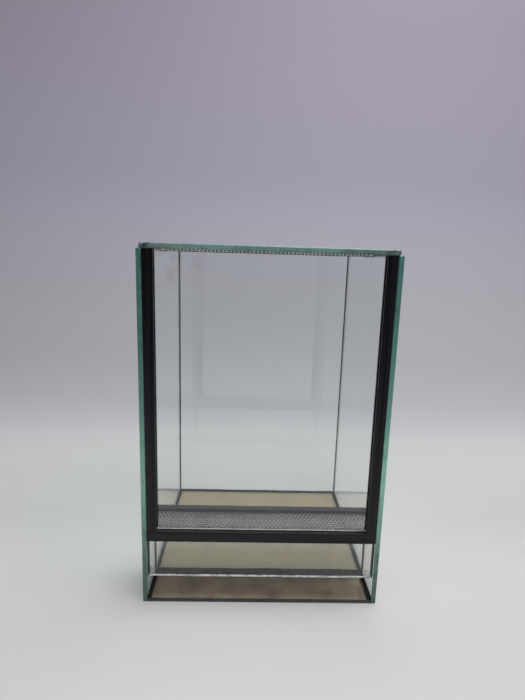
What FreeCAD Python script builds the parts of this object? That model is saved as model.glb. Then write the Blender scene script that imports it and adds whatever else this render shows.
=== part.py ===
"""Small glass terrarium with a lift-up front door.

A tank of bonded glass panes with black silicone beads. The front is open above a low
fixed strip, and a pane slides up and out of two vertical channels. Behind the strip, a
barrier pane and a perforated sheet make an air chamber that breathes through a slot at
floor level. The top is two glass panes with perforated sheet between them.

Millimetres, +Z up, the front faces -Y. The origin is at the bottom centre.
"""
import FreeCAD, Part
import math
import os

Vector = FreeCAD.Vector

# Tank
WIDTH = 200.0
DEPTH = 195.0
HEIGHT = 300.0
GLASS = 4.0
FLOOR_GLASS = 3.0
BACKING = 0.5

# Door and its channels, measured back from the front plane
DOOR_GLASS = 3.0
DOOR_WIDTH = 187.0
DOOR_FRONT = 3.8
DOOR_CLEARANCE = 0.2
DOOR_PROUD = 0.4
PROFILE_DEPTH = 8.8
PROFILE_FRONT_WALL = 2.0
PROFILE_REAR_WALL = 1.8
PROFILE_WEB = 1.5
CHANNEL_FACE = 8.5

# Rail, fixed strip and the open slot below it
RAIL_BOTTOM = 57.1
RAIL_TOP = 66.0
SLOT_TOP = 23.2
STRIP_JOINT = 1.0

# Barrier pane and its cap
BARRIER_FRONT = 35.1
CAP_WALL = 1.5
CAP_TOP = 68.6
CAP_BOTTOM = 59.6

# Perforated sheets
SHEET = 0.8
LOWER_SHEET_TOP = 65.6
HOLE_RADIUS = 1.0
HOLE_PITCH = 3.5
ROW_PITCH = HOLE_PITCH * math.sqrt(3) / 2
HOLE_MARGIN = 0.6
TOP_SHEET_FRONT = 78.0
TOP_SHEET_ROWS = 14

# Top glass
TOP_FRONT_START = 9.0
TOP_FRONT_END = 86.5
TOP_LAP = 8.5

# Silicone beads, by the length of their legs
FLOOR_BEAD = 2.4
REAR_FLOOR_BEAD = 1.8
BARRIER_FRONT_BEAD = 4.6
BARRIER_REAR_BEAD = 3.6
CHAMBER_BEAD = 2.8
SEAM_BEAD = 0.8
CORNER_BEAD = 1.0
STRIP_BEAD = 1.6
SHEET_BEAD = 2.0
TOP_BEAD = 0.8

# Derived positions
FRONT = -DEPTH / 2
HALF = WIDTH / 2
INNER = HALF - GLASS
REAR_INNER = DEPTH / 2 - GLASS
PANE_TOP = HEIGHT - GLASS
FLOOR_TOP = BACKING + FLOOR_GLASS
PROFILE_REAR = FRONT + PROFILE_DEPTH
STRIP_FRONT = FRONT + PROFILE_FRONT_WALL
BARRIER_Y = FRONT + BARRIER_FRONT
BARRIER_BACK_Y = BARRIER_Y + GLASS
CAP_FRONT_Y = BARRIER_Y - CAP_WALL
TOP_SHEET_FRONT_Y = FRONT + TOP_SHEET_FRONT
TOP_SHEET_REAR_Y = TOP_SHEET_FRONT_Y + (TOP_SHEET_ROWS - 1) * ROW_PITCH
UP = Vector(0, 0, 1)
DOWN = Vector(0, 0, -1)
BACK = Vector(0, 1, 0)
FORWARD = Vector(0, -1, 0)
RIGHT = Vector(1, 0, 0)


def block(x_range, y_range, z_range):
    """A square-edged solid between three pairs of limits."""
    sizes = [high - low for low, high in (x_range, y_range, z_range)]
    return Part.makeBox(*sizes, Vector(x_range[0], y_range[0], z_range[0]))


def mirrored(shape):
    """The same piece on the other side of the tank."""
    return shape.mirror(Vector(0, 0, 0), RIGHT)


def bead(corner, first, second, run, radius):
    """A concave silicone fillet in the corner between two walls, along run."""
    inset = radius * (1 - 1 / math.sqrt(2))
    start = corner + first * radius
    end = corner + second * radius
    middle = corner + (first + second) * inset
    edges = [
        Part.LineSegment(corner, start).toShape(),
        Part.Arc(start, middle, end).toShape(),
        Part.LineSegment(end, corner).toShape(),
    ]
    return Part.Face(Part.Wire(edges)).extrude(run)


def across(y, z, first, second, radius):
    """A bead from one side pane to the other."""
    return bead(Vector(-INNER, y, z), first, second, RIGHT * (2 * INNER), radius)


def along_side(y_range, z, second, radius):
    """A bead along the left side pane, from front to back."""
    run = BACK * (y_range[1] - y_range[0])
    return bead(Vector(-INNER, y_range[0], z), RIGHT, second, run, radius)


def upright(y, z_range, second, radius):
    """A vertical bead on the left side pane."""
    run = UP * (z_range[1] - z_range[0])
    return bead(Vector(-INNER, y, z_range[0]), RIGHT, second, run, radius)


def edge_with_half_holes(x_centres, y, inward):
    """Edges from left to right along a cut that passes through a row of holes."""
    edges = []
    last = Vector(-INNER, y, 0)
    for x in x_centres:
        left = Vector(x - HOLE_RADIUS, y, 0)
        right = Vector(x + HOLE_RADIUS, y, 0)
        edges.append(Part.LineSegment(last, left).toShape())
        edges.append(Part.Arc(left, Vector(x, y + inward * HOLE_RADIUS, 0), right).toShape())
        last = right
    edges.append(Part.LineSegment(last, Vector(INNER, y, 0)).toShape())
    return edges


def row_centres(row):
    """Hole centres across one row; every other row is shifted by half a pitch."""
    reach = INNER - HOLE_RADIUS - HOLE_MARGIN
    shift = HOLE_PITCH / 2 * (row % 2)
    count = int(reach // HOLE_PITCH) + 1
    centres = [index * HOLE_PITCH + shift for index in range(-count, count + 1)]
    return [x for x in centres if abs(x) <= reach]


def plain_edge(y):
    """One straight edge from left to right."""
    return [Part.LineSegment(Vector(-INNER, y, 0), Vector(INNER, y, 0)).toShape()]


def perforated(front_edges, rear_edges, y_range, hole_rows, bottom):
    """A thin sheet with staggered round holes; hole_rows are (row number, y) pairs."""
    sides = [
        Part.LineSegment(Vector(side, y_range[0], 0), Vector(side, y_range[1], 0)).toShape()
        for side in (-INNER, INNER)
    ]
    outline = Part.Wire(Part.__sortEdges__(front_edges + rear_edges + sides))
    holes = [
        Part.Wire(Part.makeCircle(HOLE_RADIUS, Vector(x, y, 0), DOWN))
        for row, y in hole_rows
        for x in row_centres(row)
    ]
    face = Part.Face(outline)
    face.cutHoles(holes)
    sheet = face.extrude(UP * SHEET)
    sheet.translate(UP * bottom)
    return sheet


def lower_sheet():
    """The sheet over the air chamber, between the rail and the barrier's cap."""
    depth = CAP_FRONT_Y - PROFILE_REAR
    rows = int((depth - 2 * (HOLE_RADIUS + HOLE_MARGIN)) // ROW_PITCH) + 1
    first = PROFILE_REAR + (depth - (rows - 1) * ROW_PITCH) / 2
    hole_rows = [(row, first + row * ROW_PITCH) for row in range(rows)]
    y_range = (PROFILE_REAR, CAP_FRONT_Y)
    front_edges = plain_edge(PROFILE_REAR)
    rear_edges = plain_edge(CAP_FRONT_Y)
    return perforated(front_edges, rear_edges, y_range, hole_rows, LOWER_SHEET_TOP - SHEET)


def top_sheet():
    """The sheet under the top panes, cut through its first and last rows of holes."""
    last = TOP_SHEET_ROWS - 1
    hole_rows = [(row, TOP_SHEET_FRONT_Y + row * ROW_PITCH) for row in range(1, last)]
    front_edges = edge_with_half_holes(row_centres(0), TOP_SHEET_FRONT_Y, 1)
    rear_edges = edge_with_half_holes(row_centres(last), TOP_SHEET_REAR_Y, -1)
    y_range = (TOP_SHEET_FRONT_Y, TOP_SHEET_REAR_Y)
    return perforated(front_edges, rear_edges, y_range, hole_rows, PANE_TOP - SHEET)


def panes():
    """The bonded glass, without the door."""
    full_depth = (FRONT, -FRONT)
    inside = (-INNER, INNER)
    strip_half = INNER - STRIP_JOINT
    strip_depth = (STRIP_FRONT, STRIP_FRONT + GLASS)
    side = block((-HALF, -INNER), full_depth, (0, PANE_TOP))
    top_width = (-HALF, HALF)
    top_height = (PANE_TOP, HEIGHT)
    top_front = (FRONT + TOP_FRONT_START, FRONT + TOP_FRONT_END)
    top_rear = (TOP_SHEET_REAR_Y - TOP_LAP, -FRONT)
    return {
        "left_side_glass": side,
        "right_side_glass": mirrored(side),
        "rear_glass": block(inside, (REAR_INNER, -FRONT), (0, PANE_TOP)),
        "floor_glass": block(inside, (FRONT, REAR_INNER), (BACKING, FLOOR_TOP)),
        "floor_backing": block(inside, (FRONT, REAR_INNER), (0, BACKING)),
        "front_strip_glass": block(
            (-strip_half, strip_half), strip_depth, (SLOT_TOP, RAIL_TOP - PROFILE_WEB)
        ),
        "barrier_glass": block(
            inside, (BARRIER_Y, BARRIER_BACK_Y), (FLOOR_TOP, CAP_TOP - CAP_WALL)
        ),
        "top_front_glass": block(top_width, top_front, top_height),
        "top_rear_glass": block(top_width, top_rear, top_height),
    }


def door():
    """The pane that slides up, a little proud of the top so that it can be gripped."""
    half = DOOR_WIDTH / 2
    face = FRONT + DOOR_FRONT
    rise = (RAIL_TOP + DOOR_CLEARANCE, HEIGHT + DOOR_PROUD)
    return block((-half, half), (face, face + DOOR_GLASS), rise)


def profiles():
    """The U profiles: two channels for the door, the rail and the barrier's cap."""
    slot = (STRIP_FRONT, PROFILE_REAR - PROFILE_REAR_WALL)
    outside = (FRONT, PROFILE_REAR)
    inside = (-INNER, INNER)
    channel_x = (-INNER, -INNER + CHANNEL_FACE)
    channel = block(channel_x, outside, (RAIL_TOP, PANE_TOP))
    channel = channel.cut(block((channel_x[0] + PROFILE_WEB, channel_x[1]), slot, (RAIL_TOP, PANE_TOP)))
    rail = block(inside, outside, (RAIL_BOTTOM, RAIL_TOP))
    rail = rail.cut(block(inside, slot, (RAIL_BOTTOM, RAIL_TOP - PROFILE_WEB)))
    cap_outside = (CAP_FRONT_Y, BARRIER_BACK_Y + CAP_WALL)
    cap = block(inside, cap_outside, (CAP_BOTTOM, CAP_TOP))
    cap = cap.cut(block(inside, (BARRIER_Y, BARRIER_BACK_Y), (CAP_BOTTOM, CAP_TOP - CAP_WALL)))
    return {
        "left_channel": channel,
        "right_channel": mirrored(channel),
        "lower_rail": rail,
        "barrier_cap": cap,
    }


def strip_joint():
    """The silicone at the left end of the fixed strip, with a fillet behind it."""
    joint_x = (-INNER, -INNER + STRIP_JOINT)
    strip_back = STRIP_FRONT + GLASS
    joint = block(joint_x, (STRIP_FRONT, strip_back), (SLOT_TOP, RAIL_TOP - PROFILE_WEB))
    fillet = upright(strip_back, (SLOT_TOP, RAIL_BOTTOM), BACK, STRIP_BEAD)
    return joint.fuse(fillet).removeSplitter()


def top_side_beads():
    """Three lengths along the left pane: front glass, perforated sheet, rear glass."""
    front = (FRONT + TOP_FRONT_START, TOP_SHEET_FRONT_Y)
    middle = (TOP_SHEET_FRONT_Y, TOP_SHEET_REAR_Y)
    rear = (TOP_SHEET_REAR_Y, REAR_INNER)
    return [
        along_side(front, PANE_TOP, DOWN, TOP_BEAD),
        along_side(middle, PANE_TOP - SHEET, DOWN, TOP_BEAD),
        along_side(rear, PANE_TOP, DOWN, TOP_BEAD),
    ]


def beads():
    """The silicone beads, mitred where they meet."""
    floor_rear = across(REAR_INNER, FLOOR_TOP, FORWARD, UP, REAR_FLOOR_BEAD)
    barrier_front = across(BARRIER_Y, FLOOR_TOP, FORWARD, UP, BARRIER_FRONT_BEAD)
    barrier_rear = across(BARRIER_BACK_Y, FLOOR_TOP, BACK, UP, BARRIER_REAR_BEAD)
    top_rear = across(REAR_INNER, PANE_TOP, FORWARD, DOWN, TOP_BEAD)
    lower_sheet_bottom = LOWER_SHEET_TOP - SHEET

    floor_side = along_side((BARRIER_BACK_Y, REAR_INNER), FLOOR_TOP, UP, FLOOR_BEAD)
    floor_side = floor_side.cut(barrier_rear).cut(floor_rear)
    chamber_side = along_side((FRONT, BARRIER_Y), FLOOR_TOP, UP, CHAMBER_BEAD)
    chamber_side = chamber_side.cut(barrier_front)
    seam_height = (FLOOR_TOP, CAP_BOTTOM)
    seam_front = upright(BARRIER_Y, seam_height, FORWARD, SEAM_BEAD)
    seam_front = seam_front.cut(barrier_front).cut(chamber_side)
    seam_rear = upright(BARRIER_BACK_Y, seam_height, BACK, SEAM_BEAD)
    seam_rear = seam_rear.cut(barrier_rear).cut(floor_side)
    top_side = [part.cut(top_rear) for part in top_side_beads()]
    corner = upright(REAR_INNER, (FLOOR_TOP, PANE_TOP), FORWARD, CORNER_BEAD)
    corner = corner.cut(floor_rear).cut(floor_side).cut(top_rear).cut(top_side[-1])

    left_beads = {
        "floor_bead": floor_side,
        "chamber_bead": chamber_side,
        "barrier_seam": Part.makeCompound([seam_front, seam_rear]),
        "rear_corner_bead": corner,
        "strip_joint": strip_joint(),
        "top_bead": Part.makeCompound(top_side),
    }
    pieces = {
        "floor_bead_rear": floor_rear,
        "barrier_bead_front": barrier_front,
        "barrier_bead_rear": barrier_rear,
        "top_bead_rear": top_rear,
        "sheet_bead_front": across(PROFILE_REAR, lower_sheet_bottom, BACK, DOWN, SHEET_BEAD),
        "sheet_bead_rear": across(CAP_FRONT_Y, lower_sheet_bottom, FORWARD, DOWN, SHEET_BEAD),
    }
    for name, shape in left_beads.items():
        pieces[name + "_left"] = shape
        pieces[name + "_right"] = mirrored(shape)
    return pieces


def build():
    """Every piece by its name."""
    pieces = panes()
    pieces["door_glass"] = door()
    pieces.update(profiles())
    pieces["lower_perforated_sheet"] = lower_sheet()
    pieces["top_perforated_sheet"] = top_sheet()
    pieces.update(beads())
    return pieces


os.makedirs("parts", exist_ok=True)
for node, solid in build().items():
    print(node, len(solid.Solids), round(solid.Volume, 1))
    solid.exportStep("parts/" + node + ".step")
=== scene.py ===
"""Looks of the small glass terrarium with a lift-up front door.

Every piece stands for one CAD node, at the CAD's place. Metres, +Z up, front faces -Y.
"""

import math

import bpy
from mathutils import Matrix, Vector, noise


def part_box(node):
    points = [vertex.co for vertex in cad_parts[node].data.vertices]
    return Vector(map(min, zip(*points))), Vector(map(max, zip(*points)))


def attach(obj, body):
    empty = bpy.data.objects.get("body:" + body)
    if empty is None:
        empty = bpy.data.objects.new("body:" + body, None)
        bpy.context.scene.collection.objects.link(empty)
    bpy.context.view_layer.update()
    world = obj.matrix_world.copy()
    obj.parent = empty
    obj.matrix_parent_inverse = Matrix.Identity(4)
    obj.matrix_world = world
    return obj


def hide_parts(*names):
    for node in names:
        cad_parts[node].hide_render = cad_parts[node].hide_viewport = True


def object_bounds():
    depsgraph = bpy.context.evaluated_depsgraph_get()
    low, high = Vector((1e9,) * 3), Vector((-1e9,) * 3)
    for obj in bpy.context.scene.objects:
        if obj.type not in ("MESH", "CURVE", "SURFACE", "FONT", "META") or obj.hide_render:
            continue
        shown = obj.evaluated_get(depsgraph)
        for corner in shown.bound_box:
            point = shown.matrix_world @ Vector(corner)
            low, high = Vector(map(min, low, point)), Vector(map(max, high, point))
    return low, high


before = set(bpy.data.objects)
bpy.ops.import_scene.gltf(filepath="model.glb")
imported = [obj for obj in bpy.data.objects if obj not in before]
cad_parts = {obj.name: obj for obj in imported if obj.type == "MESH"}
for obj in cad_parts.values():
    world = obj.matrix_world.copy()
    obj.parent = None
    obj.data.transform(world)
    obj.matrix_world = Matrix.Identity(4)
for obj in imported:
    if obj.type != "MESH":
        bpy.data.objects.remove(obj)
cad_low, cad_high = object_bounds()

MM = 0.001
CLEAR, EDGE, FOOT = 0, 1, 2
ROLLED, PUNCHED, CUT = 0, 1, 2

# Glass: the width of the ground arris, how much it wanders, and the clipped corners
ARRIS = 0.45 * MM
ARRIS_WANDER = 0.35
CORNER_CLIP = 0.7 * MM
PERIMETER_STEP = 6 * MM

# The tan sheet: its clipped corners and its ragged sides
BACKING_CLIP = 0.3 * MM
BACKING_RAGGED = 0.25 * MM

# Silicone: how deep it reads as bonded into the glass, and how much it wanders
WETTING = 0.05 * MM
FILM = 0.15 * MM
BEAD_STEP = 1.6 * MM
BEAD_WANDER = 0.16
BELLY_WANDER = 0.10
BEAD_ARC = 8

# Extrusions: rounded corners, shallow grooves at parts of a face's width, and sawn ends
CORNER_RADIUS = 0.35 * MM
ROUND_STEPS = 3
GROOVE_DEPTH = 0.18 * MM
GROOVE_HALF = 0.28 * MM
CHANNEL_GROOVES = (0.30, 0.55, 0.80)
RAIL_GROOVES = (0.13, 0.86)
SAW_CHAMFER = 0.25 * MM
SAW_DEPTH = SAW_CHAMFER * 0.6

# Perforated sheets: rows of holes, each second row moved by half a pitch
HOLE_RADIUS = 1.0 * MM
HOLE_PITCH = 3.5 * MM
ROW_PITCH = HOLE_PITCH * math.sqrt(3) / 2
HOLE_MARGIN = 0.6 * MM
HOLE_SIDES = 16
HOLE_BEVEL = 0.08 * MM
SHEET_SAG = 0.10 * MM

# Colours that change along a surface, as (place from 0 to 1, colour)
# The paper's colours grow darker up the sweep: painted shade for light that falls off with height.
BACKDROP_COLOURS = (
    (0.02, (0.68, 0.68, 0.68)),
    (0.08, (0.70, 0.71, 0.70)),
    (0.12, (0.66, 0.675, 0.67)),
    (0.20, (0.71, 0.735, 0.725)),
    (0.24, (0.70, 0.72, 0.715)),
    (0.33, (0.555, 0.565, 0.585)),
    (0.42, (0.495, 0.51, 0.53)),
    (0.56, (0.49, 0.49, 0.525)),
    (0.71, (0.50, 0.48, 0.57)),
    (0.95, (0.41, 0.37, 0.455)),
)
# Side edge greens by height: green from the glass, with lighter and darker bands as painted light and
# shade.
SIDE_GREENS = (
    (0.0, (0.055, 0.108, 0.080)),
    (0.10, (0.066, 0.136, 0.110)),
    (0.20, (0.150, 0.285, 0.226)),
    (0.37, (0.215, 0.470, 0.360)),
    (0.50, (0.160, 0.370, 0.290)),
    (0.62, (0.090, 0.240, 0.200)),
    (0.76, (0.055, 0.185, 0.155)),
    (1.0, (0.048, 0.158, 0.145)),
)
# Top edge greens; the bright last stop is a painted highlight on the top panes' upper arris.
TOP_GREENS = (
    (0.0, (0.13, 0.27, 0.23)),
    (0.975, (0.115, 0.240, 0.220)),
    (1.0, (0.29, 0.50, 0.47)),
)
# Floor edge greens: green from the glass, painted near black as painted shade low by the table.
FLOOR_GREENS = ((0.0, (0.017, 0.022, 0.018)), (1.0, (0.03, 0.05, 0.04)))
# Near white for the bottom faces of the front strip and the door: a painted highlight where their lower
# edge catches light.
PALE_GREENS = ((0.0, (0.92, 0.93, 0.91)), (1.0, (0.93, 0.94, 0.92)))
# Painted shade on the tan sheet along its depth, as factors that darken it.
TAN_SHADES = (
    (0.0, (1.0, 1.0, 1.0)),
    (0.2, (0.86, 0.84, 0.80)),
    (0.5, (0.80, 0.78, 0.73)),
    (0.8, (0.93, 0.92, 0.86)),
)

# Where those colours start and end: height on the edges, depth on the tan sheet, and Y + Z on the stage
EDGE_TOP = 0.3
TAN_FRONT, TAN_REAR = cad_low.y, cad_high.y
SWEEP_START, SWEEP_END = -0.2, 1.8

# Wear: dust on the glass, stains at the foot of the edges, mottling at the top's front corners. Then
# painted shade at the tan sheet's front
DUST_MARKS, DUST_SPECKS, DUST_EVEN = 0.028, 0.012, 0.002
SMEAR_REACH, SMUDGE = 0.048, 0.17
STAIN_FULL, STAIN_NONE = 0.14, 0.30
WORN_PALE_START, WORN_PALE_FULL = 0.076, 0.082
WORN_DARK_START, WORN_DARK_FULL = 0.088, 0.093
WORN_FRONT_FULL, WORN_FRONT_NONE = -0.086, -0.082
# Where the tan sheet's front is painted darker: painted shade under the rail and mesh
FRONT_SHADE_FULL, FRONT_SHADE_NONE = -0.066, -0.050

# The stage, and the near edge of the bright paper that the glass mirrors; past it, mirrored paper is
# painted dark as a painted reflection of a dim room
STAGE_HALF_WIDTH, STAGE_FRONT, STAGE_TOP = 2.4, -1.6, 2.2
SWEEP_TURN, SWEEP_RADIUS, SWEEP_STEPS = 0.33, 0.50, 24
PAPER_END, ROOM_START = -0.50, -0.56
ROOM_LIGHT, ROOM_MIRRORED = 0.30, 0.07

# The camera
CAMERA_PLACE = (-0.0145, -0.4540, 0.2922)
CAMERA_PITCH, CAMERA_YAW, CAMERA_ROLL = -11.18, -1.64, -1.71
CAMERA_LENS, CAMERA_SENSOR = 24.29, 36.0


# ---------------------------------------------------------------- node helpers


class Nodes:
    """A short way to build one material's node tree."""

    def __init__(self, name):
        self.material = bpy.data.materials.new(name)
        self.material.use_nodes = True
        self.tree = self.material.node_tree
        self.tree.nodes.clear()
        self.coords = self.add("ShaderNodeTexCoord").outputs["Object"]

    def add(self, kind, inputs=None, **settings):
        """A node with its settings, and its inputs linked or set by name or number."""
        node = self.tree.nodes.new(kind)
        for key, value in settings.items():
            setattr(node, key, value)
        for key, value in (inputs or {}).items():
            if isinstance(value, bpy.types.NodeSocket):
                self.tree.links.new(value, node.inputs[key])
            else:
                node.inputs[key].default_value = value
        return node

    def stretched(self, scale):
        """Object coordinates scaled along each axis."""
        return self.add("ShaderNodeMapping", {"Vector": self.coords, "Scale": scale}).outputs[0]

    def noise(self, scale, detail=4.0, rough=0.55, vector=None):
        """Noise from 0 to 1; scale is in features per metre."""
        inputs = {"Vector": vector or self.coords, "Scale": scale, "Detail": detail, "Roughness": rough}
        return self.add("ShaderNodeTexNoise", inputs).outputs["Fac"]

    def ramp(self, value, low, high, from_low=0.0, from_high=1.0):
        """A clamped change of range."""
        inputs = {0: value, 1: from_low, 2: from_high, 3: low, 4: high}
        return self.add("ShaderNodeMapRange", inputs).outputs[0]

    def blend(self, factor, first, second):
        """A mix of two colours."""
        node = self.add("ShaderNodeMix", data_type="RGBA")
        for socket, value in ((node.inputs[0], factor), (node.inputs[6], first), (node.inputs[7], second)):
            if isinstance(value, bpy.types.NodeSocket):
                self.tree.links.new(value, socket)
            else:
                socket.default_value = value
        return node.outputs[2]

    def colours(self, value, stops):
        """A colour that changes with a value from 0 to 1; stops are (place, colour)."""
        node = self.add("ShaderNodeValToRGB", {0: value})
        for number, (place, colour) in enumerate(stops):
            ends = number in (0, len(stops) - 1)
            stop = node.color_ramp.elements[-1 if number else 0] if ends else None
            stop = stop or node.color_ramp.elements.new(place)
            stop.position = place
            stop.color = (*colour, 1.0)
        return node.outputs[0]

    def math(self, operation, first, second=0.0):
        """One arithmetic step."""
        return self.add("ShaderNodeMath", {0: first, 1: second}, operation=operation).outputs[0]

    def bump(self, height, distance, strength=1.0):
        """A normal from a height field."""
        inputs = {"Height": height, "Distance": distance, "Strength": strength}
        return self.add("ShaderNodeBump", inputs).outputs[0]

    def principled(self, inputs):
        """The surface shader."""
        return self.add("ShaderNodeBsdfPrincipled", inputs).outputs[0]

    def finish(self, shader):
        """Links the shader to the output and gives the material."""
        self.add("ShaderNodeOutputMaterial", {"Surface": shader})
        return self.material


def grey(value):
    """A neutral colour."""
    return (value, value, value, 1.0)


def shaded(stops, factor):
    """Colour stops made darker or lighter."""
    return tuple((place, tuple(part * factor for part in colour)) for place, colour in stops)


# ---------------------------------------------------------------- materials


def clear_glass(name, smear_centre, seed, smudge):
    """Float glass with faint dust, wipe marks and a greasy smudge. Lamps shine through it."""
    n = Nodes(name)
    moved = n.add("ShaderNodeMapping", {"Vector": n.coords, "Location": (seed, seed * 0.7, seed * 1.3)})
    turned = {"Vector": moved.outputs[0], "Scale": (1.0, 1.0, 3.2), "Rotation": (0.3, 0.5, 0.2)}
    wiped = n.add("ShaderNodeMapping", turned)
    streaks = n.noise(26.0, 5.0, 0.6, wiped.outputs[0])
    patches = n.ramp(n.noise(9.0, 3.0, 0.5, moved.outputs[0]), 0.0, 1.0, 0.46, 0.72)
    specks = n.ramp(n.noise(1500.0, 1.0, 0.4, moved.outputs[0]), 0.0, 1.0, 0.70, 0.80)
    ends = {0: n.coords, 1: smear_centre}
    far = n.add("ShaderNodeVectorMath", ends, operation="DISTANCE").outputs["Value"]
    smear = n.ramp(far, 1.0, 0.0, 0.0, SMEAR_REACH)
    marks = n.math("MULTIPLY", n.ramp(streaks, 0.0, 1.0, 0.45, 0.75), n.math("MAXIMUM", patches, smear))
    haze = n.math("ADD", n.math("MULTIPLY", marks, DUST_MARKS), n.math("MULTIPLY", specks, DUST_SPECKS))
    rubbed = n.ramp(n.noise(60.0, 4.0, 0.55, moved.outputs[0]), 0.0, 1.0, 0.44, 0.62)
    grease = n.math("MULTIPLY", smear, rubbed)
    haze = n.math("ADD", n.math("ADD", haze, DUST_EVEN), n.math("MULTIPLY", grease, smudge))
    glass = n.principled(
        {
            "Base Color": (0.955, 0.975, 0.968, 1.0),
            "Roughness": 0.0,
            "IOR": 1.5,
            "Transmission Weight": 1.0,
        }
    )
    dirt = n.blend(grease, (0.72, 0.72, 0.70, 1.0), (0.24, 0.25, 0.27, 1.0))
    dust = n.add("ShaderNodeBsdfDiffuse", {"Color": dirt}).outputs[0]
    dusty = n.add("ShaderNodeMixShader", {0: haze, 1: glass, 2: dust}).outputs[0]
    open_air = n.add("ShaderNodeBsdfTransparent", {"Color": (0.93, 0.955, 0.945, 1.0)}).outputs[0]
    shadow = n.add("ShaderNodeLightPath").outputs["Is Shadow Ray"]
    return n.finish(n.add("ShaderNodeMixShader", {0: shadow, 1: dusty, 2: open_air}).outputs[0])


def mottled_ends(n, place, green):
    """The top's front corners, where sealant and grime show through the edge."""
    across = n.math("ABSOLUTE", place[0])
    front = n.ramp(place[1], 1.0, 0.0, WORN_FRONT_FULL, WORN_FRONT_NONE)
    patch = n.noise(260.0, 3.0, 0.6)
    milky = n.ramp(across, 0.0, 0.8, WORN_PALE_START, WORN_PALE_FULL)
    milky = n.math("MULTIPLY", milky, n.ramp(patch, 0.0, 1.0, 0.44, 0.56))
    green = n.blend(n.math("MULTIPLY", milky, front), green, (0.26, 0.27, 0.29, 1.0))
    grime = n.ramp(across, 0.0, 0.9, WORN_DARK_START, WORN_DARK_FULL)
    grime = n.math("MULTIPLY", grime, n.ramp(patch, 1.0, 0.0, 0.42, 0.54))
    return n.blend(n.math("MULTIPLY", grime, front), green, (0.012, 0.040, 0.042, 1.0))


def glass_edge(name, greens, pale=(0.30, 0.50, 0.42), worn_ends=False):
    """Ground edges: green from the depth of glass behind them, with painted light and shade that change
    with height.
    """
    n = Nodes(name)
    place = n.add("ShaderNodeSeparateXYZ", {0: n.coords}).outputs
    height = n.ramp(place[2], 0.0, 1.0, 0.0, EDGE_TOP)
    drift = n.ramp(n.noise(30.0, 4.0, 0.6), -0.06, 0.06)
    # Painted light and shade: the edge greens get lighter and darker with height, as the stops set.
    green = n.colours(n.math("ADD", height, drift), greens)
    grind = n.noise(900.0, 3.0, 0.6)
    chips = n.ramp(n.noise(420.0, 2.0, 0.5), 0.0, 1.0, 0.66, 0.74)
    dark = n.ramp(n.noise(230.0, 3.0, 0.6, n.stretched((1.0, 1.0, 0.4))), 0.0, 0.5, 0.52, 0.70)
    dark = n.math("MULTIPLY", dark, n.ramp(height, 1.8, 0.8, 0.06, 0.24))
    green = n.blend(dark, green, (0.020, 0.050, 0.040, 1.0))
    stain = n.ramp(n.noise(150.0, 4.0, 0.65), 0.0, 0.60, 0.46, 0.60)
    stain = n.math("MULTIPLY", stain, n.ramp(height, 1.0, 0.0, STAIN_FULL, STAIN_NONE))
    green = n.blend(stain, green, (0.022, 0.050, 0.040, 1.0))
    if worn_ends:
        green = mottled_ends(n, place, green)
    green = n.blend(n.ramp(grind, 0.0, 0.16, 0.4, 0.7), green, (*pale, 1.0))
    green = n.blend(n.math("MULTIPLY", chips, 0.35), green, (0.62, 0.76, 0.70, 1.0))
    shader = n.principled(
        {
            "Base Color": green,
            "Roughness": n.ramp(grind, 0.26, 0.46),
            "IOR": 1.5,
            "Coat Weight": 0.15,
            "Coat Roughness": 0.12,
            "Normal": n.bump(grind, 0.05 * MM, 0.5),
        }
    )
    return n.finish(shader)


def black_profile(name, along):
    """Extruded black plastic: draw lines along the run, light dust, up-facing faces lighter from settled
    dust and painted light, and a satin sheen.
    """
    n = Nodes(name)
    scale = [1.0, 1.0, 1.0]
    scale[along] = 0.012
    lines = n.noise(2600.0, 3.0, 0.6, n.stretched(tuple(scale)))
    cloud = n.noise(60.0, 4.0, 0.6)
    dust = n.ramp(n.noise(1900.0, 2.0, 0.5), 0.0, 1.0, 0.68, 0.80)
    streaks = n.ramp(n.noise(430.0, 2.0, 0.5, n.stretched(tuple(scale))), 0.0, 1.0, 0.36, 0.62)
    base = n.blend(streaks, (0.0026, 0.0024, 0.0040, 1.0), (0.0135, 0.0130, 0.0180, 1.0))
    base = n.blend(n.math("MULTIPLY", dust, 0.30), base, (0.12, 0.115, 0.11, 1.0))
    # Faces turned up are blended to grey: settled dust, and painted light for light from above.
    facing = n.add("ShaderNodeSeparateXYZ", {0: n.add("ShaderNodeNewGeometry").outputs["True Normal"]})
    dust_and_top_light = n.math("MULTIPLY", n.ramp(facing.outputs[2], 0.0, 0.10, 0.6, 1.0), n.ramp(cloud, 0.6, 1.4))
    base = n.blend(dust_and_top_light, base, (0.17, 0.17, 0.165, 1.0))
    rough = n.math("ADD", n.ramp(cloud, 0.30, 0.44), n.ramp(lines, -0.04, 0.05))
    shader = n.principled(
        {
            "Base Color": base,
            "Roughness": rough,
            "IOR": 1.48,
            "Specular IOR Level": 0.3,
            "Normal": n.bump(lines, 0.03 * MM, 0.55),
        }
    )
    return n.finish(shader)


def black_silicone():
    """Cured sealant: smooth, a little glossy, with tooling ripples and trapped dust."""
    n = Nodes("black_silicone")
    ripple = n.noise(170.0, 3.0, 0.5)
    fine = n.noise(1400.0, 2.0, 0.5)
    dust = n.ramp(fine, 0.0, 0.5, 0.66, 0.80)
    base = n.blend(ripple, (0.0050, 0.0050, 0.0050, 1.0), (0.0100, 0.0098, 0.0094, 1.0))
    base = n.blend(dust, base, (0.08, 0.077, 0.072, 1.0))
    shader = n.principled(
        {
            "Base Color": base,
            "Roughness": n.ramp(ripple, 0.20, 0.38),
            "IOR": 1.41,
            "Specular IOR Level": 0.35,
            "Normal": n.bump(ripple, 0.25 * MM, 0.5),
        }
    )
    return n.finish(shader)


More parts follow.
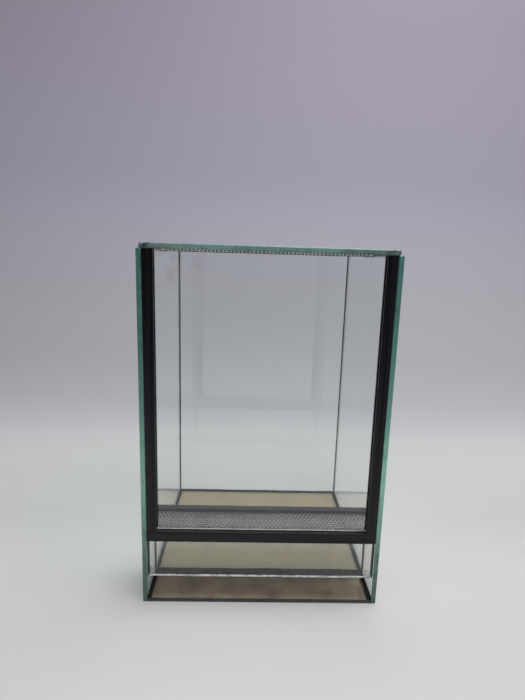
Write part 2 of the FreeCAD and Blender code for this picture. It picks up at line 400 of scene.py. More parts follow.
def aluminium(name, dull, bright, metallic):
    """Mill-finish sheet between two grey values: rolled grain, dull patches and dirt."""
    n = Nodes(name)
    grain = n.noise(1800.0, 3.0, 0.6, n.stretched((0.05, 1.0, 1.0)))
    patch = n.noise(38.0, 4.0, 0.6)
    dirt = n.ramp(n.noise(260.0, 3.0, 0.6), 0.0, 1.0, 0.55, 0.75)
    base = n.blend(patch, grey(dull), grey(bright))
    base = n.blend(n.math("MULTIPLY", dirt, 0.35), base, grey(dull * 0.5))
    shader = n.principled(
        {
            "Base Color": base,
            "Metallic": metallic,
            "Roughness": n.math("ADD", n.ramp(patch, 0.34, 0.48), n.ramp(grain, -0.05, 0.05)),
            "Normal": n.bump(grain, 0.02 * MM, 0.5),
        }
    )
    return n.finish(shader)


def tan_backing():
    """Matt tan sheet with a fine fibre, clouding and a few darker marks, and painted shade: darker along
    its depth, browner and blotchy at the front.
    """
    n = Nodes("tan_backing")
    cloud = n.noise(11.0, 5.0, 0.6)
    fibre = n.noise(700.0, 4.0, 0.7, n.stretched((1.0, 0.35, 1.0)))
    marks = n.ramp(n.noise(48.0, 5.0, 0.65), 0.0, 1.0, 0.60, 0.78)
    base = n.blend(cloud, (0.385, 0.320, 0.210, 1.0), (0.475, 0.405, 0.275, 1.0))
    base = n.blend(n.ramp(fibre, 0.0, 0.45, 0.35, 0.75), base, (0.34, 0.28, 0.185, 1.0))
    base = n.blend(n.math("MULTIPLY", marks, 0.25), base, (0.23, 0.18, 0.12, 1.0))
    # Painted shade: the tan sheet is darkened along its depth.
    depth = n.add("ShaderNodeSeparateXYZ", {0: n.coords}).outputs[1]
    shade = n.colours(n.ramp(depth, 0.0, 1.0, TAN_FRONT, TAN_REAR), TAN_SHADES)
    shaded_base = {0: 1.0, 6: base, 7: shade}
    base = n.add("ShaderNodeMix", shaded_base, data_type="RGBA", blend_type="MULTIPLY").outputs[2]
    # Painted shade: the front of the tan sheet, under the rail and mesh, is made browner and blotchy.
    front = n.ramp(depth, 1.0, 0.30, FRONT_SHADE_FULL, FRONT_SHADE_NONE)
    front_shade = n.math("MULTIPLY", front, n.ramp(cloud, 0.25, 0.75))
    base = n.blend(front_shade, base, (0.215, 0.150, 0.106, 1.0))
    shade_blotches = n.math("MULTIPLY", n.ramp(n.noise(42.0, 3.0, 0.5), 0.0, 0.62, 0.42, 0.68), front)
    base = n.blend(shade_blotches, base, (0.125, 0.083, 0.057, 1.0))
    shader = n.principled(
        {
            "Base Color": base,
            "Roughness": n.ramp(fibre, 0.62, 0.82),
            "Normal": n.bump(fibre, 0.05 * MM, 0.4),
        }
    )
    return n.finish(shader)


# ---------------------------------------------------------------- mesh helpers


def axes_of(axis):
    """Unit vectors along axis and the two others, right-handed."""
    return [Vector([float(i == (axis + k) % 3) for i in range(3)]) for k in range(3)]


def make(name, vertices, faces, slots, materials, slot_name, body, nodes, smooth=False):
    """A finished piece that stands for CAD nodes."""
    mesh = bpy.data.meshes.new(name)
    mesh.from_pydata([tuple(v) for v in vertices], [], faces)
    for material in materials:
        mesh.materials.append(material)
    mesh.polygons.foreach_set("material_index", slots)
    mesh.polygons.foreach_set("use_smooth", [smooth] * len(faces))
    mesh.validate()
    mesh.update()
    piece = bpy.data.objects.new(name, mesh)
    bpy.context.scene.collection.objects.link(piece)
    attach(piece, body)
    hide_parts(*nodes)
    return piece


def wander(place, frequency, amount):
    """A smooth factor near 1 that changes slowly from place to place."""
    return 1.0 + amount * noise.noise(Vector(place) * frequency)


def clipped_outline(width, height, clip, step):
    """A rectangle's outline with clipped corners and extra points, as (u, v, inward u, inward v)."""
    corners = [
        ((clip, 0.0), (width - clip, 0.0), (0.0, 1.0)),
        ((width, clip), (width, height - clip), (-1.0, 0.0)),
        ((width - clip, height), (clip, height), (0.0, -1.0)),
        ((0.0, height - clip), (0.0, clip), (1.0, 0.0)),
    ]
    outline = []
    for (u0, v0), (u1, v1), inward in corners:
        length = math.hypot(u1 - u0, v1 - v0)
        count = max(2, round(length / step))
        for k in range(count + 1):
            t = k / count
            outline.append((u0 + (u1 - u0) * t, v0 + (v1 - v0) * t, *inward))
    return outline


def ring_faces(first, second, count):
    """Quads that join two closed rings of the same count."""
    return [
        (first + k, first + (k + 1) % count, second + (k + 1) % count, second + k)
        for k in range(count)
    ]


def pane(node, thickness_axis, body, face_material, edge_material, foot_material=None):
    """A glass pane with ground, slightly wandering arrises all round."""
    low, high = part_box(node)
    w_dir, u_dir, v_dir = axes_of(thickness_axis)
    size = high - low
    width, height, thick = size.dot(u_dir), size.dot(v_dir), size.dot(w_dir)
    outline = clipped_outline(width, height, CORNER_CLIP, PERIMETER_STEP)
    count = len(outline)
    vertices = []
    for depth, inset in ((0, 1), (1, 0), (-1, 0), (0, 1)):
        side = 0.0 if len(vertices) < 2 * count else thick
        for u, v, inward_u, inward_v in outline:
            place = low + u_dir * u + v_dir * v + w_dir * side
            arris = ARRIS * wander(place, 90.0, ARRIS_WANDER)
            shift = u_dir * inward_u + v_dir * inward_v
            vertices.append(place + shift * (arris * inset) + w_dir * (arris * depth))
    faces = [tuple(range(count - 1, -1, -1))]
    for ring in range(3):
        faces += ring_faces(ring * count, (ring + 1) * count, count)
    faces.append(tuple(range(3 * count, 4 * count)))
    foot = low.z + 2 * ARRIS
    slots = [FOOT if all(vertices[k].z < foot for k in face) else EDGE for face in faces]
    slots[0] = slots[-1] = CLEAR
    materials = [face_material, edge_material, foot_material or edge_material]
    return make(node, vertices, faces, slots, materials, "clear_glass", body, [node])


def rounded(points, radii):
    """A closed 2-D outline with each corner rounded by its own radius."""
    result = []
    for k, corner in enumerate(points):
        before, after = points[k - 1], points[(k + 1) % len(points)]
        corner, before, after = Vector(corner), Vector(before), Vector(after)
        to_before, to_after = (before - corner).normalized(), (after - corner).normalized()
        radius = radii[k]
        if radius <= 0:
            result.append(corner)
            continue
        half = to_before.angle(to_after) / 2
        reach = radius / math.tan(half)
        centre = corner + (to_before + to_after).normalized() * (radius / math.sin(half))
        start, end = corner + to_before * reach - centre, corner + to_after * reach - centre
        for step in range(ROUND_STEPS + 1):
            arm = start.lerp(end, step / ROUND_STEPS)
            result.append(centre + arm.normalized() * radius)
    return result


def profile(node, along, section, body, material):
    """An extrusion of a 2-D section along one axis, with broken edges at the sawn ends."""
    low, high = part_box(node)
    run, u_dir, v_dir = axes_of(along)
    count = len(section)
    area = sum(
        section[k - 1].x * section[k].y - section[k].x * section[k - 1].y for k in range(count)
    )
    sign = 1.0 if area > 0 else -1.0
    inward = []
    for k in range(count):
        edge = (section[(k + 1) % count] - section[k - 1]).normalized()
        inward.append(Vector((-edge.y, edge.x)) * sign)
    start, end = low.dot(run), high.dot(run)
    vertices = []
    for at, inset in ((start, 1), (start + SAW_CHAMFER, 0), (end - SAW_CHAMFER, 0), (end, 1)):
        for point, into in zip(section, inward):
            flat = point + into * (SAW_DEPTH * inset)
            vertices.append(run * at + u_dir * flat.x + v_dir * flat.y)
    faces = [tuple(range(count - 1, -1, -1))]
    for ring in range(3):
        faces += ring_faces(ring * count, (ring + 1) * count, count)
    faces.append(tuple(range(3 * count, 4 * count)))
    if sign < 0:
        faces = [tuple(reversed(face)) for face in faces]
    slots = [0] * len(faces)
    return make(node, vertices, faces, slots, [material], "black_profile", body, [node])


def grooved(start, end, places, into):
    """Points from start to end with shallow V grooves cut along into."""
    start, end, into = Vector(start), Vector(end), Vector(into)
    way = (end - start).normalized()
    points = []
    for place in places:
        middle = start.lerp(end, place)
        points += [middle - way * GROOVE_HALF, middle + into * GROOVE_DEPTH, middle + way * GROOVE_HALF]
    return points


class Soup:
    """Vertices and faces gathered from several closed shapes for one piece."""

    def __init__(self):
        self.vertices = []
        self.faces = []

    def add(self, vertices, faces):
        """Adds one closed shape."""
        start = len(self.vertices)
        self.vertices += vertices
        self.faces += [tuple(start + index for index in face) for face in faces]

    def slab(self, low, high):
        """A thin film of sealant between two panes."""
        grid = [(x, y, z) for x in (low[0], high[0]) for y in (low[1], high[1]) for z in (low[2], high[2])]
        faces = [(0, 1, 3, 2), (4, 6, 7, 5), (0, 4, 5, 1), (2, 3, 7, 6), (0, 2, 6, 4), (1, 5, 7, 3)]
        self.add([Vector(point) for point in grid], faces)

    def fillet(self, low, high, run, corner):
        """A tooled concave bead. corner says at which side (0 low, 1 high) its corner lies."""
        run_dir, first, second = axes_of(run)
        sides = [low, high]
        u_axis, v_axis = (run + 1) % 3, (run + 2) % 3
        origin = Vector(low)
        origin[u_axis] = sides[corner[0]][u_axis]
        origin[v_axis] = sides[corner[1]][v_axis]
        u_dir = first * (1 - 2 * corner[0])
        v_dir = second * (1 - 2 * corner[1])
        radius = high[u_axis] - low[u_axis]
        length = high[run] - low[run]
        count = max(2, round(length / BEAD_STEP))
        size = BEAD_ARC + 4
        vertices = []
        for k in range(count + 1):
            at = origin + run_dir * (length * k / count)
            here_u = radius * wander(at + first, 55.0, BEAD_WANDER)
            here_v = radius * wander(at + second * 3, 55.0, BEAD_WANDER)
            belly = wander(at - first, 80.0, BELLY_WANDER)
            points = [(-WETTING, -WETTING), (here_u, -WETTING)]
            for step in range(BEAD_ARC + 1):
                angle = math.pi * (1.5 - 0.5 * step / BEAD_ARC)
                u = here_u * (1 + math.cos(angle) * belly)
                v = here_v * (1 + math.sin(angle) * belly)
                points.append((max(u, 0.0), max(v, 0.0)))
            points.append((-WETTING, here_v))
            vertices += [at + u_dir * u + v_dir * v for u, v in points]
        faces = [tuple(range(size))]
        for k in range(count):
            faces += [tuple(reversed(face)) for face in ring_faces(k * size, (k + 1) * size, size)]
        faces.append(tuple(reversed(range(count * size, (count + 1) * size))))
        if (1 - 2 * corner[0]) * (1 - 2 * corner[1]) < 0:
            faces = [tuple(reversed(face)) for face in faces]
        self.add(vertices, faces)

    def piece(self, node, material):
        """The finished silicone piece."""
        slots = [0] * len(self.faces)
        shape = (self.vertices, self.faces, slots)
        return make(node, *shape, [material], "black_silicone", "tank", [node], smooth=True)


def row_centres(row, reach):
    """Hole centres across one row; every other row is shifted by half a pitch."""
    shift = HOLE_PITCH / 2 * (row % 2)
    count = int(reach // HOLE_PITCH) + 1
    centres = [index * HOLE_PITCH + shift for index in range(-count, count + 1)]
    return [x for x in centres if abs(x) <= reach]


class Sheet:
    """A perforated sheet: flat cells round each hole, closed off to the sheet's sides."""

    def __init__(self, low, high):
        self.low, self.high = low, high
        self.points, self.index, self.rim, self.flat = [], {}, {}, []

    def point(self, x, y, hole=None):
        """The number of the flat vertex at a place; rim vertices remember their hole."""
        key = (round(x * 1e6), round(y * 1e6))
        if key not in self.index:
            self.index[key] = len(self.points)
            self.points.append((x, y))
        if hole is not None:
            self.rim[self.index[key]] = hole
        return self.index[key]

    def cell(self, x, y, first, last):
        """The sheet round one hole, from eighth to eighth of a turn."""
        half_u, half_v = HOLE_PITCH / 2, ROW_PITCH / 2
        per_eighth = HOLE_SIDES // 8
        corners = [(1, 0), (1, 1), (0, 1), (-1, 1), (-1, 0), (-1, -1), (0, -1), (1, -1)]
        radius = HOLE_RADIUS + HOLE_BEVEL
        for eighth in range(first, last):
            outer = [corners[eighth % 8], corners[(eighth + 1) % 8]]
            face = [self.point(x + a * half_u, y + b * half_v) for a, b in outer]
            for step in range(per_eighth, -1, -1):
                angle = math.pi / 4 * (eighth + step / per_eighth)
                place = (x + radius * math.cos(angle), y + radius * math.sin(angle))
                face.append(self.point(*place, (x, y)))
            self.flat.append(tuple(face))

    def margin(self, ends, y0, y1, side):
        """The plain strip from a row's last cell to the sheet's side; ends are (own, below, above)."""
        limit = side * (self.high.x - self.low.x) / 2
        own, below, above = (side * end for end in ends)
        face = [self.point(own, y0)]
        if abs(below) > abs(own):
            face.append(self.point(below, y0))
        face += [self.point(limit, y0), self.point(limit, y1)]
        if abs(above) > abs(own):
            face.append(self.point(above, y1))
        face.append(self.point(own, y1))
        if abs(y1 - y0) > ROW_PITCH * 0.75:
            face.append(self.point(own, (y0 + y1) / 2))
        self.flat.append(tuple(face) if side > 0 else tuple(reversed(face)))

    def strip(self, y_edge, y_cell, row_end, centres):
        """A plain strip between a straight edge and the nearest row of cells."""
        half = (self.high.x - self.low.x) / 2
        marks = [x + shift for x in centres for shift in (-HOLE_PITCH / 2, 0)] + [row_end]
        line = [self.point(x, y_cell) for x in [-half] + marks + [half]]
        for k in range(len(line) - 1):
            x0, x1 = self.points[line[k]][0], self.points[line[k + 1]][0]
            face = (self.point(x0, y_edge), self.point(x1, y_edge), line[k + 1], line[k])
            self.flat.append(face if y_edge < y_cell else tuple(reversed(face)))

    def solid(self, top, thickness, sag):
        """Both faces and every wall, with broken hole rims; sag bends the sheet a little."""
        edges = {}
        for face in self.flat:
            for k, a in enumerate(face):
                b = face[(k + 1) % len(face)]
                edges[(a, b)] = edges.get((a, b), 0) + 1
        border = [(a, b) for a, b in edges if (b, a) not in edges]
        count = len(self.points)
        levels = []
        for depth, inset in ((0.0, 0), (HOLE_BEVEL, 1), (thickness - HOLE_BEVEL, 1), (thickness, 0)):
            for k, (x, y) in enumerate(self.points):
                z = top - depth + sag(x, y)
                if inset and k in self.rim:
                    away = Vector((self.rim[k][0] - x, self.rim[k][1] - y))
                    away = away.normalized() * HOLE_BEVEL
                    x, y = x + away.x, y + away.y
                levels.append(Vector((x, y, z)))
        faces = list(self.flat)
        faces += [tuple(3 * count + k for k in reversed(face)) for face in self.flat]
        slots = [ROLLED] * len(faces)
        for a, b in border:
            for level in range(3):
                first, second = level * count, (level + 1) * count
                faces.append((first + b, first + a, second + a, second + b))
                slots.append(PUNCHED if a in self.rim and b in self.rim else CUT)
        used = sorted({k for face in faces for k in face})
        place = {k: number for number, k in enumerate(used)}
        vertices = [levels[k] for k in used]
        return vertices, [tuple(place[k] for k in face) for face in faces], slots


def perforated_sheet(node, cut_edges, materials):
    """One sheet. With cut_edges it is cut through its first and last rows of holes."""
    low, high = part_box(node)
    sheet = Sheet(low, high)
    depth = high.y - low.y
    reach = high.x - HOLE_RADIUS - HOLE_MARGIN
    if cut_edges:
        rows = round(depth / ROW_PITCH) + 1
        first = low.y
    else:
        rows = int((depth - 2 * (HOLE_RADIUS + HOLE_MARGIN)) // ROW_PITCH) + 1
        first = low.y + (depth - (rows - 1) * ROW_PITCH) / 2
    centres = [row_centres(row, reach) for row in range(rows)]
    ends = [row[-1] + HOLE_PITCH / 2 for row in centres]
    for row in range(rows):
        y = first + row * ROW_PITCH
        lowest, highest = cut_edges and row == 0, cut_edges and row == rows - 1
        for x in centres[row]:
            sheet.cell(x, y, 4 if highest else 0, 4 if lowest else 8)
        y0 = y if lowest else y - ROW_PITCH / 2
        y1 = y if highest else y + ROW_PITCH / 2
        below = ends[row - 1] if row > 0 else 0.0
        above = ends[row + 1] if row < rows - 1 else 0.0
        for side in (-1, 1):
            sheet.margin((ends[row], below, above), y0, y1, side)
    if not cut_edges:
        sheet.strip(low.y, first - ROW_PITCH / 2, ends[0], centres[0])
        sheet.strip(high.y, first + (rows - 0.5) * ROW_PITCH, ends[-1], centres[-1])

    def sag(x, y):
        """How far the sheet hangs below its flat plane, mostly at the middle of its depth."""
        across = math.sin(math.pi * min(max((y - low.y) / depth, 0.0), 1.0))
        return -SHEET_SAG * across * (1 + noise.noise(Vector((x * 22, y * 22, low.z * 50))))

    vertices, faces, slots = sheet.solid(high.z - WETTING, high.z - low.z - WETTING, sag)
    return make(node, vertices, faces, slots, materials, "perforated_aluminium", "tank", [node])


# ---------------------------------------------------------------- pieces


def build_panes():
    """All the glass. The thickness axis is 0 for X, 1 for Y and 2 for Z."""
    side_edge = glass_edge("side_glass_edge", SIDE_GREENS)
    # The left pane's edges are painted darker and the right pane's lighter: painted shade and painted light
    # for light that falls from the right.
    left_edge = glass_edge("left_glass_edge_painted_shade", shaded(SIDE_GREENS, 0.92))
    right_edge = glass_edge("right_glass_edge_painted_light", shaded(SIDE_GREENS, 1.22))
    top_edge = glass_edge("top_glass_edge", shaded(TOP_GREENS, 0.90), worn_ends=True)
    # The floor pane's edge is painted near black: painted shade by the table.
    floor_edge = glass_edge("floor_glass_edge", FLOOR_GREENS, (0.12, 0.16, 0.13))
    # Painted highlight: the front strip's bottom faces are near white, and the door's foot is a dimmer
    # copy.
    pale_edge = glass_edge("pale_glass_edge", PALE_GREENS, (0.94, 0.95, 0.94))
    door_foot = glass_edge("door_foot_edge", shaded(PALE_GREENS, 0.46), (0.55, 0.57, 0.57))
    door_low, door_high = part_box("door_glass")
    smear = Vector((door_low.x * 0.82, door_low.y, door_high.z * 0.955))
    fixed = clear_glass("clear_glass", (-0.09, 0.0, 0.19), seed=0.0, smudge=0.0)
    moving = clear_glass("door_clear_glass", smear, seed=3.7, smudge=SMUDGE)
    pane("left_side_glass", 0, "tank", fixed, left_edge)
    pane("right_side_glass", 0, "tank", fixed, right_edge)
    pane("rear_glass", 1, "tank", fixed, side_edge)
    pane("floor_glass", 2, "tank", fixed, floor_edge)
    pane("front_strip_glass", 1, "tank", fixed, side_edge, pale_edge)
    pane("barrier_glass", 1, "tank", fixed, side_edge)
    pane("top_front_glass", 2, "tank", fixed, top_edge)
    pane("top_rear_glass", 2, "tank", fixed, top_edge)
    pane("door_glass", 1, "door", moving, top_edge, door_foot)


def u_section(low, high, walls, opening):
    """A U outline in the plane (u, v). walls are (low u, high u, web); opening is -1 or 1 along v."""
    low_wall, high_wall, web = walls
    u0, u1 = low[0], high[0]
    base, tip = (low[1], high[1]) if opening > 0 else (high[1], low[1])
    floor = base + web * opening
    return [
        (u0, base), (u1, base), (u1, tip), (u1 - high_wall, tip),
        (u1 - high_wall, floor), (u0 + low_wall, floor), (u0 + low_wall, tip), (u0, tip),
    ]


def build_profiles():
    """The two door channels, the rail and the barrier's cap."""
    upright = black_profile("black_profile_upright", 2)
    level = black_profile("black_profile_level", 0)
    front_wall, rear_wall, web = 2.0 * MM, 1.8 * MM, 1.5 * MM
    radii = [CORNER_RADIUS] * 2 + [CORNER_RADIUS * 0.6] * 2 + [CORNER_RADIUS * 0.5] * 2
    radii += [CORNER_RADIUS * 0.6, CORNER_RADIUS * 0.6]
    for node, side in (("left_channel", 1), ("right_channel", -1)):
        low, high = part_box(node)
        inner, outer = (low.x + WETTING, high.x) if side > 0 else (high.x - WETTING, low.x)
        # The plane is (X, Y): the web stands against the side pane and the slot opens inward.
        points = [
            (inner, low.y), (outer, low.y), (outer, low.y + front_wall),
            (inner + side * web, low.y + front_wall), (inner + side * web, high.y - rear_wall),
            (outer, high.y - rear_wall), (outer, high.y), (inner, high.y),
        ]
        section = rounded(points, [CORNER_RADIUS, CORNER_RADIUS * 0.8] + [CORNER_RADIUS * 0.5] * 6)
        face = grooved((inner, low.y), (outer, low.y), CHANNEL_GROOVES, (0, 1))
        section = section[: ROUND_STEPS + 1] + face + section[ROUND_STEPS + 1 :]
        profile(node, 2, section, "tank", upright)
    low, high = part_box("lower_rail")
    points = u_section((low.y, low.z), (high.y, high.z), (front_wall, rear_wall, web), -1)
    section = rounded(points, radii)
    section += grooved((low.y, low.z), (low.y, high.z), RAIL_GROOVES, (1, 0))
    profile("lower_rail", 0, section, "tank", level)
    low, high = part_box("barrier_cap")
    glass_low, glass_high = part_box("barrier_glass")
    wall = glass_low.y - low.y - WETTING
    points = u_section((low.y, low.z), (high.y, high.z), (wall, wall, high.z - glass_high.z - WETTING), -1)
    profile("barrier_cap", 0, rounded(points, radii), "tank", level)


def build_sheets():
    """The two perforated sheets; the top one is cut through its holes."""
    metal = [
        aluminium("perforated_aluminium", dull=0.26, bright=0.43, metallic=0.85),
        # The hole walls are near black: painted shade inside the holes.
        aluminium("punched_hole_walls_painted_shade", dull=0.06, bright=0.11, metallic=0.30),
        aluminium("cut_sheet_edge", dull=0.38, bright=0.62, metallic=0.40),
    ]
    perforated_sheet("lower_perforated_sheet", False, metal)
    perforated_sheet("top_perforated_sheet", True, metal)


def build_backing():
    """The tan sheet under the floor pane."""
    node = "floor_backing"
    low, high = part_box(node)
    outline = clipped_outline(high.x - low.x, high.y - low.y, BACKING_CLIP, PERIMETER_STEP)
    count = len(outline)
    vertices = []
    for z in (low.z, high.z + WETTING):
        for x, y, inward_x, inward_y in outline:
            place = Vector((low.x + x, low.y + y, z))
            ragged = BACKING_RAGGED * (1 + noise.noise(place * 300))
            vertices.append(place + Vector((inward_x, inward_y, 0)) * ragged)
    faces = [tuple(range(count - 1, -1, -1)), tuple(range(count, 2 * count))]
    faces += ring_faces(0, count, count)
    make(node, vertices, faces, [0] * len(faces), [tan_backing()], "tan_backing", "tank", [node])


def bond(low, high, axis):
    """A box with the thickness of a glue film round the shared plane of two panes."""
    low, high = Vector(low), Vector(high)
    for k in range(3):
        if k == axis:
            low[k], high[k] = low[k] - FILM, high[k] + FILM
        else:
            low[k], high[k] = low[k] + 2 * FILM, high[k] - 2 * FILM
    return low, high


def side_pieces(name, side):
    """A node's name on one side, and a function that mirrors a box to that side."""

    def place(low, high):
        """A left-hand box, or its mirror image on the right."""
        if side < 0:
            return Vector(low), Vector(high)
        return Vector((-high[0], low[1], low[2])), Vector((-low[0], high[1], high[2]))

    return name + ("_left" if side < 0 else "_right"), place


def build_side_beads(side, material):
    """The sealant along one side pane; written for the left side and mirrored."""
    x_corner = 0 if side < 0 else 1
    left_low, left_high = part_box("left_side_glass")
    inner = left_high.x
    floor_low, floor_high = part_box("floor_glass")
    wall_low, wall_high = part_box("barrier_glass")
    rear_low, rear_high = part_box("rear_glass")
    roof = left_high.z

    def start(name):
        """An empty soup, the node's name, the mirror function and the node's box."""
        node, place = side_pieces(name, side)
        low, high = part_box(node)
        return Soup(), node, place, low, high

    soup, node, place, low, high = start("floor_bead")
    soup.fillet(Vector((low.x, wall_high.y, low.z)), Vector((high.x, rear_low.y, high.z)), 1, (0, x_corner))
    soup.slab(*place(*bond((inner, wall_high.y, floor_low.z), (inner, rear_low.y, floor_high.z), 0)))
    soup.piece(node, material)

    soup, node, place, low, high = start("chamber_bead")
    soup.fillet(Vector((low.x, low.y, low.z)), Vector((high.x, wall_low.y, high.z)), 1, (0, x_corner))
    soup.slab(*place(*bond((inner, low.y, floor_low.z), (inner, wall_high.y, floor_high.z), 0)))
    soup.piece(node, material)

    soup, node, place, low, high = start("barrier_seam")
    deck = floor_high.z
    soup.fillet(Vector((low.x, low.y, deck)), Vector((high.x, wall_low.y, high.z)), 2, (x_corner, 1))
    soup.fillet(Vector((low.x, wall_high.y, deck)), Vector((high.x, high.y, high.z)), 2, (x_corner, 0))
    soup.slab(*place(*bond((inner, wall_low.y, floor_high.z), (inner, wall_high.y, wall_high.z), 0)))
    soup.piece(node, material)

    soup, node, place, low, high = start("rear_corner_bead")
    soup.fillet(Vector((low.x, low.y, deck)), Vector((high.x, high.y, roof)), 2, (x_corner, 1))
    soup.slab(*place(*bond((inner, rear_low.y, rear_low.z), (inner, rear_high.y, rear_high.z), 0)))
    soup.piece(node, material)

    strip_low, strip_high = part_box("front_strip_glass")
    soup, node, place, low, high = start("strip_joint")
    rail_low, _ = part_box("lower_rail")
    back_low = Vector((low.x, strip_high.y, low.z))
    soup.fillet(back_low, Vector((high.x, high.y, rail_low.z)), 2, (x_corner, 0))
    joint_low = Vector((inner - WETTING, strip_low.y + ARRIS, low.z + ARRIS))
    joint_high = Vector((strip_low.x + WETTING, strip_high.y, high.z))
    soup.slab(*place(joint_low, joint_high))
    soup.piece(node, material)

    soup, node, place, low, high = start("top_bead")
    sheet_low, sheet_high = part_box("top_perforated_sheet")
    front_low, front_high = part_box("top_front_glass")
    back_low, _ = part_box("top_rear_glass")
    drop = high.x - low.x
    runs = (
        (low.y, sheet_low.y, roof),
        (sheet_low.y, sheet_high.y, sheet_low.z),
        (sheet_high.y, rear_low.y, roof),
    )
    for y0, y1, z in runs:
        soup.fillet(Vector((low.x, y0, z - drop)), Vector((high.x, y1, z)), 1, (1, x_corner))
    outside = left_low.x
    soup.slab(*place(*bond((outside, front_low.y, roof), (inner, front_high.y, roof), 2)))
    soup.slab(*place(*bond((outside, back_low.y, roof), (inner, rear_low.y, roof), 2)))
    soup.piece(node, material)


def build_cross_beads(material):
    """The sealant that runs from one side pane to the other."""
    corners = {
        "floor_bead_rear": (1, 0),
        "barrier_bead_front": (1, 0),
        "barrier_bead_rear": (0, 0),
        "top_bead_rear": (1, 1),
        "sheet_bead_front": (0, 1),
        "sheet_bead_rear": (1, 1),
    }
    floor_low, floor_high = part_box("floor_glass")
    wall_low, wall_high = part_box("barrier_glass")
    rear_low, rear_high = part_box("rear_glass")
    films = {
        "floor_bead_rear": bond(
            (floor_low.x, floor_high.y, floor_low.z), (floor_high.x, floor_high.y, floor_high.z), 1
        ),
        "barrier_bead_front": bond(
            (wall_low.x, wall_low.y, wall_low.z), (wall_high.x, wall_high.y, wall_low.z), 2
        ),
        "top_bead_rear": bond(
            (rear_low.x, rear_low.y, rear_high.z), (rear_high.x, rear_high.y, rear_high.z), 2
        ),
    }
    for node, corner in corners.items():
        soup = Soup()
        soup.fillet(*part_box(node), 0, corner)
        if node in films:
            soup.slab(*films[node])
        soup.piece(node, material)


def build_sealant():
    """All the silicone."""
    sealant = black_silicone()
    build_side_beads(-1, sealant)
    build_side_beads(1, sealant)
    build_cross_beads(sealant)


# ---------------------------------------------------------------- stage


def sweep_material():
    """Pale paper, darker up the sweep as painted shade. Mirrored directly, only its near part is bright,
    with a painted reflection of a dim room beyond.
    """
    n = Nodes("stage_paper")
    place = n.add("ShaderNodeSeparateXYZ", {0: n.coords}).outputs
    along = n.ramp(n.math("ADD", place[1], place[2]), 0.0, 1.0, SWEEP_START, SWEEP_END)
    # Painted shade: the paper darkens along the sweep.
    paper = n.colours(along, BACKDROP_COLOURS)
    # In glossy reflections, paper beyond the near edge is painted dark: a painted reflection of a dim room.
    path = n.add("ShaderNodeLightPath").outputs
    mirrored = n.math("MULTIPLY", path["Is Reflection Ray"], path["Is Glossy Ray"])
    beyond = n.math("MULTIPLY", mirrored, n.ramp(place[1], 1.0, 0.0, ROOM_START, PAPER_END))
    paper = n.blend(beyond, paper, (0.05, 0.05, 0.055, 1.0))
    return n.finish(n.principled({"Base Color": paper, "Roughness": 0.75, "Specular IOR Level": 0.25}))


def build_stage():
    """A floor that sweeps up into a backdrop."""
    line = [(STAGE_FRONT, 0.0), (SWEEP_TURN, 0.0)]
    for step in range(1, SWEEP_STEPS + 1):
        angle = math.pi / 2 * step / SWEEP_STEPS
        line.append((SWEEP_TURN + SWEEP_RADIUS * math.sin(angle), SWEEP_RADIUS * (1 - math.cos(angle))))
    line.append((SWEEP_TURN + SWEEP_RADIUS, STAGE_TOP))
    vertices = [(x, y, z) for y, z in line for x in (-STAGE_HALF_WIDTH, STAGE_HALF_WIDTH)]
    faces = [(2 * k, 2 * k + 1, 2 * k + 3, 2 * k + 2) for k in range(len(line) - 1)]
    mesh = bpy.data.meshes.new("stage_sweep")
    mesh.from_pydata(vertices, [], faces)
    mesh.polygons.foreach_set("use_smooth", [True] * len(faces))
    mesh.materials.append(sweep_material())
    stage = bpy.data.objects.new("stage_sweep", mesh)
    bpy.context.scene.collection.objects.link(stage)


def softbox(name, place, target, size, watts, colour):
    """A square area light aimed at a point."""
    lamp = bpy.data.lights.new(name, "AREA")
    lamp.shape = "SQUARE"
    lamp.size = size
    lamp.energy = watts
    lamp.color = colour
    holder = bpy.data.objects.new(name, lamp)
    holder.location = place
    holder.rotation_euler = (Vector(target) - Vector(place)).to_track_quat("-Z", "Y").to_euler()
    bpy.context.scene.collection.objects.link(holder)
    return holder


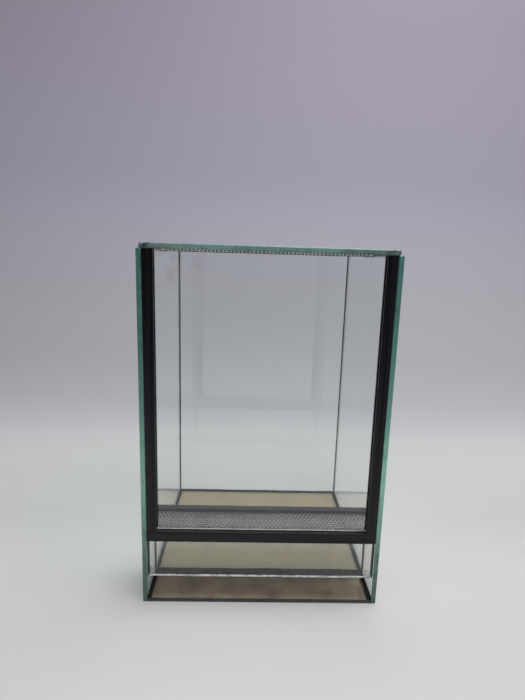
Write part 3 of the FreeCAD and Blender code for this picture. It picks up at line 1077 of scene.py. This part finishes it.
def build_light():
    """Soft light from overhead on the right, a lamp on the near paper, and a room that mirrors dim."""
    warm, cool = (1.0, 0.99, 0.98), (0.97, 0.97, 1.0)
    softbox("key", (0.50, -0.10, 1.50), target=(0.0, 0.05, 0.0), size=1.1, watts=15.2, colour=warm)
    softbox("fill", (-0.9, -0.6, 1.1), target=(0.0, 0.05, 0.1), size=0.9, watts=3.0, colour=cool)
    near = softbox("near", (0.0, -0.54, 0.38), target=(0.0, -0.50, 0.0), size=0.20, watts=0.60, colour=warm)
    near.visible_glossy = False
    near.visible_transmission = False
    world = bpy.data.worlds.new("room")
    world.use_nodes = True
    nodes, links = world.node_tree.nodes, world.node_tree.links
    background = nodes["Background"]
    background.inputs[0].default_value = (0.80, 0.79, 0.84, 1.0)
    path = nodes.new("ShaderNodeLightPath")
    mirrored = nodes.new("ShaderNodeMath")
    mirrored.operation = "MULTIPLY"
    links.new(path.outputs["Is Reflection Ray"], mirrored.inputs[0])
    links.new(path.outputs["Is Glossy Ray"], mirrored.inputs[1])
    strength = nodes.new("ShaderNodeMapRange")
    strength.inputs[3].default_value = ROOM_LIGHT
    strength.inputs[4].default_value = ROOM_MIRRORED
    links.new(mirrored.outputs[0], strength.inputs[0])
    links.new(strength.outputs[0], background.inputs[1])
    bpy.context.scene.world = world


def build_camera():
    """The camera, a little below the top pane and looking slightly down."""
    pitch, yaw, roll = (math.radians(turn) for turn in (CAMERA_PITCH, CAMERA_YAW, CAMERA_ROLL))
    turn = Matrix.Rotation(yaw, 4, "Z") @ Matrix.Rotation(pitch, 4, "X") @ Matrix.Rotation(roll, 4, "Y")
    data = bpy.data.cameras.new("camera")
    data.sensor_width = CAMERA_SENSOR
    data.lens = CAMERA_LENS
    data.clip_start = 0.01
    camera = bpy.data.objects.new("camera", data)
    upright = Matrix.Rotation(math.pi / 2, 4, "X")
    camera.matrix_world = Matrix.Translation(Vector(CAMERA_PLACE)) @ turn @ upright
    bpy.context.scene.collection.objects.link(camera)
    bpy.context.scene.camera = camera


def settings():
    """Colour and light paths; many panes lie behind each other."""
    scene = bpy.context.scene
    scene.view_settings.view_transform = "Standard"
    scene.cycles.use_denoising = True
    scene.cycles.max_bounces = 24
    scene.cycles.transmission_bounces = 24
    scene.cycles.glossy_bounces = 8
    scene.cycles.diffuse_bounces = 4
    scene.cycles.transparent_max_bounces = 32


build_camera()
build_panes()
build_profiles()
build_sheets()
build_backing()
build_sealant()
build_stage()
build_light()
settings()
